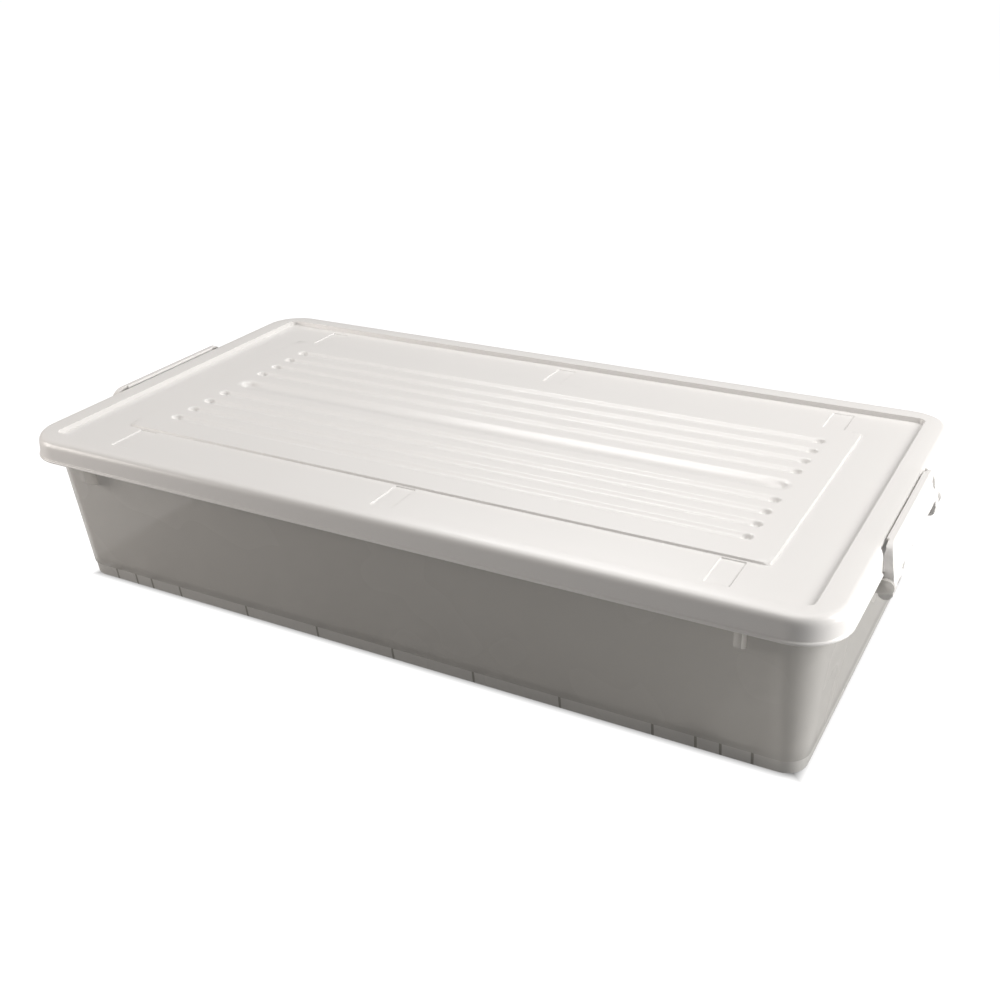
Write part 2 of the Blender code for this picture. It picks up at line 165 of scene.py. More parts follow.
def noise(tree, coords, scale, detail, roughness=0.5):
    node = tree.nodes.new("ShaderNodeTexNoise")
    node.inputs["Scale"].default_value = scale
    node.inputs["Detail"].default_value = detail
    node.inputs["Roughness"].default_value = roughness
    tree.links.new(coords, node.inputs["Vector"])
    return node.outputs["Fac"]


def ramp(tree, source, stops):
    node = tree.nodes.new("ShaderNodeValToRGB")
    for element, (place, colour) in zip(node.color_ramp.elements, stops):
        element.position = place
        element.color = (*colour, 1)
    tree.links.new(source, node.inputs["Fac"])
    return node.outputs["Color"]


def rangeOf(tree, source, low, high):
    node = tree.nodes.new("ShaderNodeMapRange")
    node.inputs["To Min"].default_value = low
    node.inputs["To Max"].default_value = high
    tree.links.new(source, node.inputs["Value"])
    return node.outputs["Result"]


# fine moulded texture as bump
def grain(tree, shader, coords, size, strength, depth):
    bump = tree.nodes.new("ShaderNodeBump")
    bump.inputs["Strength"].default_value = strength
    bump.inputs["Distance"].default_value = depth
    tree.links.new(noise(tree, coords, size, 3), bump.inputs["Height"])
    tree.links.new(bump.outputs["Normal"], shader.inputs["Normal"])


whitePlastic = {
    "light": (0.885, 0.87, 0.855), "dark": (0.86, 0.842, 0.826),
    "roughness": (0.27, 0.32), "grain": 900.0,
}


def makeWhitePlastic(name, finish):
    mat, tree, shader = newShader(name)
    coords = tree.nodes.new("ShaderNodeTexCoord").outputs["Object"]
    broad = noise(tree, coords, 3.0, 1)
    tint = ramp(tree, broad, [(0.0, finish["dark"]), (1.0, finish["light"])])
    tree.links.new(tint, shader.inputs["Base Color"])
    smear = noise(tree, coords, 14.0, 1)
    tree.links.new(rangeOf(tree, smear, *finish["roughness"]), shader.inputs["Roughness"])
    shader.inputs["IOR"].default_value = 1.49
    shader.inputs["Specular IOR Level"].default_value = 0.5
    grain(tree, shader, coords, finish["grain"], 0.02, 0.00005)
    return mat


milkyPlastic = {
    "thick": (0.83, 0.815, 0.79), "thin": (0.87, 0.86, 0.84), "alpha": 0.5, "glow": 0.3,
    "bandZ": 0.0158, "bandAlpha": 0.88, "ribShadeTint": (0.55, 0.54, 0.52, 1),
    "ribPitch": 0.0815, "ribHalf": 0.0011, "wheelX": 0.2905, "wellHalf": 0.0101,
}


def makeMilkyPlastic(name, finish):
    mat, tree, shader = newShader(name)
    coords = tree.nodes.new("ShaderNodeTexCoord").outputs["Object"]
    flow = tree.nodes.new("ShaderNodeMapping")
    flow.inputs["Scale"].default_value = (1.0, 1.0, 0.25)  # the melt ran up the walls
    tree.links.new(coords, flow.inputs["Vector"])
    cloud = noise(tree, flow.outputs["Vector"], 6.0, 1)
    tint = ramp(tree, cloud, [(0.0, finish["thick"]), (1.0, finish["thin"])])
    tree.links.new(rangeOf(tree, noise(tree, coords, 12.0, 1), 0.24, 0.3), shader.inputs["Roughness"])
    shader.inputs["IOR"].default_value = 1.49

    # the base band is thicker and hides more; painted shade lines at the ribs and wheel housings behind it
    # stand in for their shadows seen through the plastic
    split = tree.nodes.new("ShaderNodeSeparateXYZ")
    tree.links.new(coords, split.inputs[0])
    band = mathOf(tree, "LESS_THAN", split.outputs["Z"], finish["bandZ"])
    far = mathOf(tree, "ABSOLUTE", split.outputs["X"])
    fromRib = mathOf(tree, "PINGPONG", far, finish["ribPitch"] / 2)
    ribs = mathOf(tree, "LESS_THAN", fromRib, finish["ribHalf"])
    fromWheel = mathOf(tree, "ABSOLUTE", mathOf(tree, "SUBTRACT", far, finish["wheelX"]))
    fromWall = mathOf(tree, "ABSOLUTE", mathOf(tree, "SUBTRACT", fromWheel, finish["wellHalf"]))
    wells = mathOf(tree, "LESS_THAN", fromWall, finish["ribHalf"])
    # painted shade: the band is darkened along the rib and housing wall lines
    shade = mathOf(tree, "MULTIPLY", band, mathOf(tree, "MAXIMUM", ribs, wells))
    darker = tree.nodes.new("ShaderNodeMix")
    darker.data_type = "RGBA"
    darker.blend_type = "MULTIPLY"
    darker.inputs["B"].default_value = finish["ribShadeTint"]
    tree.links.new(shade, darker.inputs["Factor"])
    tree.links.new(tint, darker.inputs["A"])
    tint = darker.outputs["Result"]
    tree.links.new(tint, shader.inputs["Base Color"])
    hiding = mathOf(tree, "MULTIPLY", band, finish["bandAlpha"] - finish["alpha"])
    tree.links.new(mathOf(tree, "ADD", finish["alpha"], hiding), shader.inputs["Alpha"])
    grain(tree, shader, coords, 700.0, 0.08, 0.0001)
    glow = tree.nodes.new("ShaderNodeBsdfTranslucent")
    tree.links.new(tint, glow.inputs["Color"])
    mix = tree.nodes.new("ShaderNodeMixShader")
    mix.inputs[0].default_value = finish["glow"]
    tree.links.new(shader.outputs[0], mix.inputs[1])
    tree.links.new(glow.outputs[0], mix.inputs[2])
    tree.links.new(mix.outputs[0], tree.nodes["Material Output"].inputs["Surface"])
    return mat


def makeWheelPlastic():
    mat, tree, shader = newShader("wheelPlastic")
    coords = tree.nodes.new("ShaderNodeTexCoord").outputs["Object"]
    scuffs = noise(tree, coords, 260.0, 6, 0.65)
    grey = ramp(tree, scuffs, [(0.35, (0.20, 0.195, 0.19)), (0.7, (0.27, 0.265, 0.255))])
    tree.links.new(grey, shader.inputs["Base Color"])
    tree.links.new(rangeOf(tree, scuffs, 0.42, 0.62), shader.inputs["Roughness"])
    grain(tree, shader, coords, 1500.0, 0.2, 0.0001)
    return mat


def makePinSteel():
    mat, tree, shader = newShader("pinSteel")
    coords = tree.nodes.new("ShaderNodeTexCoord").outputs["Object"]
    drawn = tree.nodes.new("ShaderNodeMapping")
    drawn.inputs["Scale"].default_value = (0.04, 1.0, 1.0)  # drawing lines run along the pin
    tree.links.new(coords, drawn.inputs["Vector"])
    lines = noise(tree, drawn.outputs["Vector"], 2500.0, 2)
    steel = ramp(tree, lines, [(0.3, (0.5, 0.5, 0.5)), (0.7, (0.62, 0.62, 0.61))])
    tree.links.new(steel, shader.inputs["Base Color"])
    tree.links.new(rangeOf(tree, lines, 0.22, 0.38), shader.inputs["Roughness"])
    shader.inputs["Metallic"].default_value = 1.0
    return mat


def meshObject(name, verts, faces, mat, sharpDegrees):
    mesh = bpy.data.meshes.new(name)
    mesh.from_pydata([tuple(v) for v in verts], [], [tuple(f) for f in faces])
    mesh.materials.append(mat)
    obj = bpy.data.objects.new(name, mesh)
    bpy.context.scene.collection.objects.link(obj)
    finishMesh(obj, sharpDegrees)
    return obj


def finishMesh(obj, sharpDegrees):
    bm = bmesh.new()
    bm.from_mesh(obj.data)
    bmesh.ops.remove_doubles(bm, verts=bm.verts, dist=1e-6)
    bmesh.ops.recalc_face_normals(bm, faces=bm.faces)
    bm.to_mesh(obj.data)
    bm.free()
    obj.data.shade_smooth()
    obj.data.set_sharp_from_angle(angle=math.radians(sharpDegrees))


def ringFaces(start, count, rings):
    faces = []
    for k in range(rings - 1):
        a, b = start + k * count, start + (k + 1) * count
        faces += [(a + i, a + (i + 1) % count, b + (i + 1) % count, b + i) for i in range(count)]
    return faces


def corner(cx, cy, r, first, steps):
    angles = np.radians(np.linspace(first, first + 90, steps + 1))
    return [(cx + r * math.cos(a), cy + r * math.sin(a)) for a in angles]


def roundedRing(hx, hy, r, z, steps=14):
    r = max(r, 0.5 * mm)
    points = []
    for q, (sx, sy) in enumerate(((1, 1), (-1, 1), (-1, -1), (1, -1))):
        points += corner(sx * (hx - r), sy * (hy - r), r, 90 * q, steps)
    return [(x, y, z) for x, y in points]


def smoothStep(t):
    t = np.clip(t, 0.0, 1.0)
    return t * t * (3 - 2 * t)


lid = {
    "halfX": lidHigh[0], "halfY": lidHigh[1], "top": lidHigh[2], "low": lidLow[2],
    "cornerR": 41 * mm, "cornerSteps": 16, "wall": 2.2 * mm, "skin": 1.6 * mm, "sag": 0.35 * mm,
    "panelX": 364 * mm, "panelY": 185 * mm, "panelR": 7 * mm, "panelDrop": 4.5 * mm,
    "plateX": 318 * mm, "plateY": 135.5 * mm, "plateR": 5 * mm, "plateRise": 1.9 * mm,
    "fluteEnd": 294 * mm, "fluteFirst": 30.4 * mm, "flutePitch": 23.7 * mm, "flutes": 4,
    "fluteWidth": 12.5 * mm, "wideFlute": 25 * mm, "fluteDepth": 1.7 * mm,
    "ballDepth": 1.9 * mm, "ballR": 5.6 * mm, "wideBall": 1.5,
    "parkX": 290.5 * mm, "parkY": 157.5 * mm,
    "parkHalfX": 10 * mm, "parkHalfY": 20 * mm, "parkDepth": 1.0 * mm,
    "notchX": 384.3 * mm, "notchY": 84.8 * mm, "notchR": 14.8 * mm,
    "notchAbove": 2.5 * mm, "notchFillet": 0.8 * mm,
}


# signed distance to a rounded rectangle, less than zero inside
def boxDistance(x, y, cx, cy, hx, hy, r):
    dx, dy = np.abs(x - cx) - (hx - r), np.abs(y - cy) - (hy - r)
    return np.hypot(np.maximum(dx, 0), np.maximum(dy, 0)) + np.minimum(np.maximum(dx, dy), 0) - r


def panelHeight(x, y, s):
    z = np.full(x.shape, s["top"])
    wall = boxDistance(x, y, 0, 0, s["panelX"], s["panelY"], s["panelR"])
    z -= s["panelDrop"] * smoothStep((0.2 * mm - wall) / (0.7 * mm))
    plate = boxDistance(x, y, 0, 0, s["plateX"], s["plateY"], s["plateR"])
    z += s["plateRise"] * smoothStep((0.7 * mm - plate) / (1.3 * mm))
    rows = [(0.0, s["wideFlute"], s["wideBall"])]
    for n in range(s["flutes"]):
        for side in (-1, 1):
            rows.append((side * (s["fluteFirst"] + n * s["flutePitch"]), s["fluteWidth"], 1.0))
    for cy, width, swell in rows:
        h = width / 2
        groove = boxDistance(x, y, 0, cy, s["fluteEnd"], h, h * 0.999)
        across = np.clip(-groove / h, 0, 1)
        z -= s["fluteDepth"] * (0.5 - 0.5 * np.cos(np.pi * across ** 0.8))
        for end in (-1, 1):
            ball = np.hypot(x - end * (s["fluteEnd"] - h), y - cy) / (s["ballR"] * swell)
            z -= s["ballDepth"] * smoothStep((1 - ball) * 1.6)
    for cx in (-s["parkX"], 0.0, s["parkX"]):
        for cy in (-s["parkY"], s["parkY"]):
            park = boxDistance(x, y, cx, cy, s["parkHalfX"], s["parkHalfY"], 1.0 * mm)
            z -= s["parkDepth"] * smoothStep((0.3 * mm - park) / (0.8 * mm))
    hang = np.cos(x / s["panelX"] * np.pi / 2) * np.cos(y / s["panelY"] * np.pi / 2)
    return z - s["sag"] * hang * (wall < 0)


# lines from -limit to limit, close together round each feature: (place, reach, step)
def gridLines(limit, features, spacing):
    lines = set(np.round(np.linspace(-limit, limit, int(2 * limit / spacing) + 1), 6))
    for place, reach, step in features:
        near = np.arange(place - reach, place + reach + step / 2, step)
        kept = {v for v in lines if abs(v - place) > reach + step}
        lines = kept | set(np.round(near[np.abs(near) < limit], 6))
    return np.array(sorted(lines | {-limit, limit}))


# the lid's edge at height z: a rounded rectangle, stepped in behind each handle,
# from the right end round by the back, the left end and the front
def lidRing(s, z, inset, grow=0.0):
    hx, hy, r = s["halfX"] - inset, s["halfY"] - inset, s["cornerR"] - inset
    rise = z - (s["top"] + s["notchAbove"] - s["notchR"])
    reach = s["notchY"] - s["notchR"] + math.sqrt(max(s["notchR"] ** 2 - max(rise, 0) ** 2, 0)) + grow
    back = min(hx, s["notchX"] - grow)
    step, fillet = hx - back, s["notchFillet"]
    lead = [(back, 0.0), (back, reach * 0.33), (back, reach * 0.66), (back, reach - fillet)]
    lead += [(back + min(step, 0.1 * mm), reach - 0.15 * mm), (back + max(step - fillet, 0), reach)]
    lead += [(back + max(step - 0.25 * mm, 0), reach + 0.25 * mm), (hx, reach + fillet)]
    lead += [(hx, reach + 12 * mm), (hx, reach + 40 * mm)]
    points = []
    for sx, sy, first in ((1, 1, 0), (-1, 1, 90), (-1, -1, 180), (1, -1, 270)):
        bend = corner(sx * (hx - r), sy * (hy - r), r, first, s["cornerSteps"])
        if sx * sy > 0:
            points += [(sx * x, sy * y) for x, y in lead] + bend
        else:
            points += bend + [(sx * x, sy * y) for x, y in lead[::-1]]
    return [(x, y, z) for x, y in points]


def makeLid(mat, s):
    low, top, skin = s["low"], s["top"], s["skin"]
    # millimetres up from the lower edge, and in from the outline: bead, skirt, rolled top edge
    outer = [(0.0, 0.9), (0.1, 0.45), (0.45, 0.1), (1.1, 0.0), (1.8, 0.1), (2.3, 0.5), (2.6, 1.0)]
    outer += [(2.9, 1.25), (3.6, 1.3), (8.0, 1.5), (12.0, 1.7), (14.5, 1.95), (16.2, 2.35), (17.6, 2.95)]
    outer += [(18.8, 3.8), (19.7, 4.9), (20.3, 6.1), (20.75, 7.6), (21.0, 9.4)]
    rings = [lidRing(s, low + up * mm, inset * mm) for up, inset in outer]
    inner = [(0.0, 1.5), (0.5, 2.6), (3.0, 3.4), (14.5, 4.1), (16.5, 4.8), (18.0, 6.3), (18.8, 9.0)]
    wall = [lidRing(s, low + up * mm, inset * mm, grow=skin) for up, inset in inner]
    dropX, dropY = s["panelX"] + skin, s["panelY"] + skin
    count = len(rings[0])
    verts = [p for ring in wall[::-1] + rings for p in ring]
    faces = ringFaces(0, count, len(wall) + len(rings))

    # where the top needs a fine grid along one direction
    def features(panel, plate, flutes, parks, parkHalf):
        found = []
        for end in (-1, 1):
            found += [(end * panel, 8 * mm, 0.6 * mm), (end * panel, 0.8 * mm, 0.16 * mm)]
        found += [(end * plate, 1.2 * mm, 0.3 * mm) for end in (-1, 1)] + flutes
        return found + [(park + side * parkHalf, 0.9 * mm, 0.3 * mm) for park in parks for side in (-1, 1)]

    fluteEnds = [(end * (s["fluteEnd"] - 6 * mm), 9 * mm, 0.75 * mm) for end in (-1, 1)]
    featuresX = features(s["panelX"], s["plateX"], fluteEnds, (-s["parkX"], 0, s["parkX"]), s["parkHalfX"])
    featuresY = features(s["panelY"], s["plateY"], [], (-s["parkY"], s["parkY"]), s["parkHalfY"])
    featuresY += [(0.0, 109 * mm, 0.9 * mm)]
    gx = gridLines(s["panelX"] + 4 * mm, featuresX, 7 * mm)
    gy = gridLines(s["panelY"] + 4 * mm, featuresY[::-1], 7 * mm)
    gridX, gridY = np.meshgrid(gx, gy)
    gridZ = panelHeight(gridX, gridY, s)
    base = len(verts)
    verts += list(zip(gridX.ravel(), gridY.ravel(), gridZ.ravel()))
    nx, ny = len(gx), len(gy)
    cell = np.arange((ny - 1) * (nx - 1))
    a = base + (cell // (nx - 1)) * nx + cell % (nx - 1)
    faces += list(zip(a, a + 1, a + nx + 1, a + nx))

    mesh = bpy.data.meshes.new("lid_shell")
    mesh.from_pydata([tuple(map(float, v)) for v in verts], [], [tuple(int(i) for i in f) for f in faces])
    bm = bmesh.new()
    bm.from_mesh(mesh)
    bmesh.ops.remove_doubles(bm, verts=bm.verts, dist=1e-7)
    bmesh.ops.dissolve_degenerate(bm, edges=bm.edges, dist=1e-7)
    flat = [e for e in bm.edges if e.is_boundary and all(abs(v.co.z - top) < 1e-5 for v in e.verts)]
    bmesh.ops.triangle_fill(bm, edges=flat, use_beauty=True)
    under = low + 18.8 * mm
    rim = [e for e in bm.edges if e.is_boundary and all(abs(v.co.z - under) < 1e-5 for v in e.verts)]
    drop = [bm.verts.new(p) for p in roundedRing(dropX, dropY, s["panelR"] + skin, under, 6)]
    rimUnder = [bm.edges.new((drop[i], drop[(i + 1) % len(drop)])) for i in range(len(drop))]
    bmesh.ops.triangle_fill(bm, edges=rim + rimUnder, use_beauty=True)
    last = drop
    below, toPlate = top - s["panelDrop"] - s["wall"], dropX - s["plateX"]
    levels = [(0, s["panelR"] + skin, below), (toPlate + 2 * mm, 3 * mm, below)]
    levels.append((toPlate + 3 * mm, 2 * mm, below + 0.3 * mm))
    for k, (inset, r, z) in enumerate(levels):
        insetY = inset if k == 0 else inset - toPlate + (dropY - s["plateY"])
        ring = [bm.verts.new(p) for p in roundedRing(dropX - inset, dropY - insetY, r, z, 6)]
        for i in range(len(ring)):
            j = (i + 1) % len(ring)
            bm.faces.new((last[i], last[j], ring[j], ring[i]))
        last = ring
    bm.faces.new(last)
    bmesh.ops.recalc_face_normals(bm, faces=bm.faces)
    openEdges = sum(1 for e in bm.edges if not e.is_manifold)
    bm.to_mesh(mesh)
    bm.free()
    mesh.materials.append(mat)
    mesh.shade_smooth()
    mesh.set_sharp_from_angle(angle=math.radians(50))
    obj = bpy.data.objects.new("lid_shell", mesh)
    bpy.context.scene.collection.objects.link(obj)
    print("lid:", len(mesh.polygons), "faces, open edges", openEdges)
    return obj


tub = {
    "footX": 364.6 * mm, "footY": 175.3 * mm, "footR": 19 * mm, "footZ": tubLow[2],
    "rimX": 374.6 * mm, "rimY": 193.4 * mm, "rimR": 33 * mm, "rimZ": 151.5 * mm,
    "wall": 2.3 * mm, "flange": 5.4 * mm, "bandIn": 0.9 * mm, "bandZ": 16.5 * mm,
    "floorZ": 16.5 * mm, "floorT": 2.5 * mm, "floorBend": 8 * mm,
    "ribT": 1.8 * mm, "ribLow": 6 * mm, "crossPitch": 81.5 * mm,
    "longYs": (-127 * mm, -59 * mm, 59 * mm, 127 * mm),
    "wheelX": 290.5 * mm, "wheelY": 157.5 * mm,
    "wellW": 18 * mm, "wellL": 28 * mm, "wellTop": 27 * mm, "wellWall": 2.1 * mm,
    "tabX": 317 * mm, "tabT": 6 * mm, "tabOut": 10 * mm, "tabHeight": 35 * mm,
    "pivotZ": 130.5 * mm, "lugIn": 84 * mm, "lugT": 3.4 * mm,
    # x and z in millimetres, round the rounded front
    "lugFront": [(380, 124.3), (385, 124.6), (391.5, 124.8), (395.2, 125.5), (398.0, 127.0),
                 (399.4, 129.2), (399.6, 131.8), (398.8, 134.0), (396.8, 136.0), (393.5, 137.2)],
}


def tubRing(s, z, inset=0.0):
    t = (z - s["footZ"]) / (s["rimZ"] - s["footZ"])
    hx, hy, r = (s["foot" + k] + (s["rim" + k] - s["foot" + k]) * t - inset for k in ("X", "Y", "R"))
    return roundedRing(hx, hy, r, z)


# wall and floor in one closed skin: up the outside, over the rim, down the inside and across
# the floor, then the hollow foot underneath; each point is a height and an inset
def makeTubShell(mat, s):
    foot, rim, t, b, edge, out = s["footZ"], s["rimZ"], s["wall"], s["bandZ"], s["bandIn"], -s["flange"]
    path = [(foot + 2.0 * mm, edge + 2.2 * mm), (foot + 0.3 * mm, edge + 1.9 * mm), (foot, edge + 1.4 * mm)]
    path += [(foot, edge + 0.9 * mm), (foot + 0.35 * mm, edge + 0.3 * mm), (foot + 1.0 * mm, edge)]
    path += [(b - 0.7 * mm, edge), (b - 0.35 * mm, edge * 0.85), (b - 0.1 * mm, edge * 0.35)]
    path += [(b + 0.4 * mm, 0.0)]
    path += [(b + (rim - b) * k / 12, 0.0) for k in range(1, 12)]
    under = rim - 2.3 * mm
    path += [(under - 1.6 * mm, 0.0), (under - 0.4 * mm, -0.35 * mm), (under, -1.5 * mm)]
    path += [(under, out + 0.6 * mm), (under + 0.25 * mm, out + 0.1 * mm)]
    path += [(under + 0.8 * mm, out), (rim - 0.7 * mm, out)]
    path += [(rim - 0.15 * mm, out + 0.25 * mm), (rim, out + 0.9 * mm), (rim, t - 1.0 * mm)]
    path += [(rim - 0.25 * mm, t - 0.25 * mm), (rim - 0.9 * mm, t)]
    path += [(rim - 2 * mm - (rim - 2 * mm - s["floorZ"] - 9 * mm) * k / 6, t) for k in range(0, 7)]
    bend = s["floorBend"]
    for a in np.radians([15, 30, 45, 60, 75, 90]):
        path.append((s["floorZ"] + bend * (1 - math.sin(a)), t + bend * (1 - math.cos(a))))
    rings = [tubRing(s, z, inset) for z, inset in path]
    verts = [p for ring in rings for p in ring]
    count = len(rings[0])
    faces = ringFaces(0, count, len(rings))
    faces.append([(len(rings) - 1) * count + i for i in range(count)])
    belowZ = s["floorZ"] - s["floorT"]
    below = [tubRing(s, belowZ - 1.2 * mm, edge + 2.3 * mm), tubRing(s, belowZ, edge + 3.5 * mm)]
    start = len(verts)
    verts += [p for ring in below for p in ring]
    faces += ringFaces(start, count, 2)
    faces += [(i, (i + 1) % count, start + (i + 1) % count, start + i) for i in range(count)]
    faces.append([start + count + i for i in range(count)])
    return meshObject("tub_shell", verts, faces, mat, 35)


def addPart(bm, size, centre):
    made = bmesh.ops.create_cube(bm, size=1.0)["verts"]
    bmesh.ops.scale(bm, vec=Vector(size), verts=made)
    bmesh.ops.translate(bm, vec=Vector(centre), verts=made)


def bmObject(name, bm, mat):
    mesh = bpy.data.meshes.new(name)
    bm.to_mesh(mesh)
    bm.free()
    mesh.materials.append(mat)
    mesh.shade_smooth()
    mesh.set_sharp_from_angle(angle=math.radians(35))
    obj = bpy.data.objects.new(name, mesh)
    bpy.context.scene.collection.objects.link(obj)
    return obj


# a plate with a flat outline, between low and high along X or Y
def extruded(bm, outline, axis, low, high, bevel):
    place = {"Y": lambda u, v, w: (u, w, v), "X": lambda u, v, w: (w, u, v)}[axis]
    loops = [[bm.verts.new(place(u, v, w)) for u, v in outline] for w in (low, high)]
    n = len(outline)
    made = [bm.faces.new(loops[0][::-1]), bm.faces.new(loops[1])]
    for i in range(n):
        j = (i + 1) % n
        made.append(bm.faces.new((loops[0][i], loops[0][j], loops[1][j], loops[1][i])))
    bmesh.ops.recalc_face_normals(bm, faces=made)
    edges = [e for f in made[:2] for e in f.edges]
    bmesh.ops.bevel(bm, geom=edges, offset=bevel, segments=2, profile=0.6, affect="EDGES")


# a housing over each wheel, a box standing on the floor and open underneath
def makeHousings(mat, s):
    bm = bmesh.new()
    for cx in (-s["wheelX"], 0.0, s["wheelX"]):
        for cy in (-s["wheelY"], s["wheelY"]):
            w, l = s["wellW"] / 2, s["wellL"] / 2
            outW, outL, top = w + s["wellWall"], l + s["wellWall"], s["wellTop"] + s["wellWall"]
            inside = [(w - 0.5 * mm, l - 0.5 * mm, 0.5 * mm, s["wellTop"])]
            inside.append((w, l, 0.6 * mm, s["wellTop"] - 0.5 * mm))
            inside.append((w, l, 0.6 * mm, s["ribLow"]))
            outside = [(outW, outL, 1.6 * mm, s["ribLow"]), (outW, outL, 1.6 * mm, top - 1.2 * mm)]
            outside.append((outW - 0.4 * mm, outL - 0.4 * mm, 1.4 * mm, top - 0.35 * mm))
            outside.append((outW - 1.2 * mm, outL - 1.2 * mm, 1.0 * mm, top))
            loops = []
            for hx, hy, r, height in inside + outside:
                ring = roundedRing(hx, hy, r, height, 3)
                loops.append([bm.verts.new((cx + x, cy + y, z)) for x, y, z in ring])
            for a, b in zip(loops, loops[1:]):
                for i in range(len(a)):
                    bm.faces.new((a[i], a[(i + 1) % len(a)], b[(i + 1) % len(a)], b[i]))
            bm.faces.new(loops[0][::-1])
            bm.faces.new(loops[-1])
    bmesh.ops.recalc_face_normals(bm, faces=bm.faces)
    return bmObject("wheel_housings", bm, mat)


# Geometry Nodes: thin upright ribs in a row, each the same box, spaced by an offset
def ribTree():
    tree = bpy.data.node_groups.new("ribRow", "GeometryNodeTree")
    inputs = {"Count": "Int", "Start": "Vector", "Step": "Vector"}
    inputs.update({"Rib Size": "Vector", "Plastic": "Material"})
    for name, kind in inputs.items():
        tree.interface.new_socket(name=name, in_out="INPUT", socket_type="NodeSocket" + kind)
    tree.interface.new_socket(name="Geometry", in_out="OUTPUT", socket_type="NodeSocketGeometry")
    given, out = tree.nodes.new("NodeGroupInput"), tree.nodes.new("NodeGroupOutput")
    row = tree.nodes.new("GeometryNodeMeshLine")
    row.mode = "OFFSET"
    rib = tree.nodes.new("GeometryNodeMeshCube")
    place = tree.nodes.new("GeometryNodeInstanceOnPoints")
    real = tree.nodes.new("GeometryNodeRealizeInstances")
    paint = tree.nodes.new("GeometryNodeSetMaterial")
    link = tree.links.new
    link(given.outputs["Count"], row.inputs["Count"])
    link(given.outputs["Start"], row.inputs["Start Location"])
    link(given.outputs["Step"], row.inputs["Offset"])
    link(given.outputs["Rib Size"], rib.inputs["Size"])
    link(row.outputs["Mesh"], place.inputs["Points"])
    link(rib.outputs["Mesh"], place.inputs["Instance"])
    link(place.outputs["Instances"], real.inputs["Geometry"])
    link(real.outputs["Geometry"], paint.inputs["Geometry"])
    link(given.outputs["Plastic"], paint.inputs["Material"])
    link(paint.outputs["Geometry"], out.inputs["Geometry"])
    return tree


def ribRow(name, tree, mat, count, start, step, size):
    obj = bpy.data.objects.new(name, bpy.data.meshes.new(name))
    bpy.context.scene.collection.objects.link(obj)
    row = obj.modifiers.new("ribs", "NODES")
    row.node_group = tree
    sockets = {item.name: item.identifier for item in tree.interface.items_tree if item.in_out == "INPUT"}
    wanted = {"Count": count, "Start": start, "Step": step, "Rib Size": size, "Plastic": mat}
    for key, value in wanted.items():
        row[sockets[key]] = value
    bpy.context.view_layer.update()
    mesh = bpy.data.meshes.new_from_object(obj.evaluated_get(bpy.context.evaluated_depsgraph_get()))
    obj.modifiers.remove(row)
    obj.data = mesh
    return obj


def makeRibs(mat, s):
    tree = ribTree()
    height = s["floorZ"] - 0.6 * mm - s["ribLow"]
    z = s["ribLow"] + height / 2
    lengthY, lengthX = 2 * (s["footY"] - 1.9 * mm), 2 * (s["footX"] - 1.9 * mm)
    pieces = []
    for name, start in (("cross_ribs_left", -4), ("cross_ribs_right", 1)):
        first, step = (start * s["crossPitch"], 0, z), (s["crossPitch"], 0, 0)
        pieces.append(ribRow(name, tree, mat, 4, first, step, (s["ribT"], lengthY, height)))
    for name, y in (("long_ribs_front", s["longYs"][0]), ("long_ribs_back", s["longYs"][2])):
        step = s["longYs"][1] - s["longYs"][0]
        pieces.append(ribRow(name, tree, mat, 2, (0, y, z), (0, step, 0), (lengthX, s["ribT"], height)))
    return pieces


def makeTabs(mat, s):
    bm = bmesh.new()
    top = s["rimZ"] - 1.5 * mm
    wallY = max(p[1] for p in tubRing(s, top))
    low = top - s["tabHeight"]
    out = wallY + s["tabOut"]
    nose = 5 * mm
    turns = np.radians([0, 20, 40, 60])
    curve = [(out - nose + nose * math.cos(a), low + 11 * mm - nose * math.sin(a)) for a in turns]
    outline = [(wallY - 1.5 * mm, top), (out, top)] + curve + [(wallY - 4.9 * mm, low)]
    for sy in (-1, 1):
        for sx in (-1, 1):
            middle, half = sx * s["tabX"], s["tabT"] / 2
            extruded(bm, [(sy * y, z) for y, z in outline], "X", middle - half, middle + half, 0.5 * mm)
    return bmObject("stacking_tabs", bm, mat)


# the plates that hold the handles' pegs, rounded at the front
def makeLugs(mat, s):
    bm = bmesh.new()
    inside = max(p[0] for p in tubRing(s, s["pivotZ"])) - 1.5 * mm
    outline = [(inside, 137.2 * mm), (inside, 123.5 * mm)] + [(x * mm, z * mm) for x, z in s["lugFront"]]
    for sx in (-1, 1):
        for sy in (-1, 1):
            low, high = sorted((sy * s["lugIn"], sy * (s["lugIn"] + s["lugT"])))
            extruded(bm, [(sx * x, z) for x, z in outline], "Y", low, high, 0.5 * mm)
    return bmObject("handle_lugs", bm, mat)


handleFinish = {
    "voxel": 0.5 * mm, "smoothing": 4, "keep": 0.3,
    "gripCut": ((380, 403), (45.0, 71.3), (100, 133.7)),  # x, y and z limits in millimetres
    "dimple": (0.3945, 0.0785, 0.1452, 0.0012),  # centre and radius
}


# apply a list of (type, settings) modifiers and leave a plain mesh
def modified(obj, steps):
    for kind, settings in steps:
        step = obj.modifiers.new(kind.lower(), kind)
        for key, value in settings.items():
            setattr(step, key, value)
    bpy.context.view_layer.update()
    done = bpy.data.meshes.new_from_object(obj.evaluated_get(bpy.context.evaluated_depsgraph_get()))
    obj.modifiers.clear()
    obj.data = done
    return done


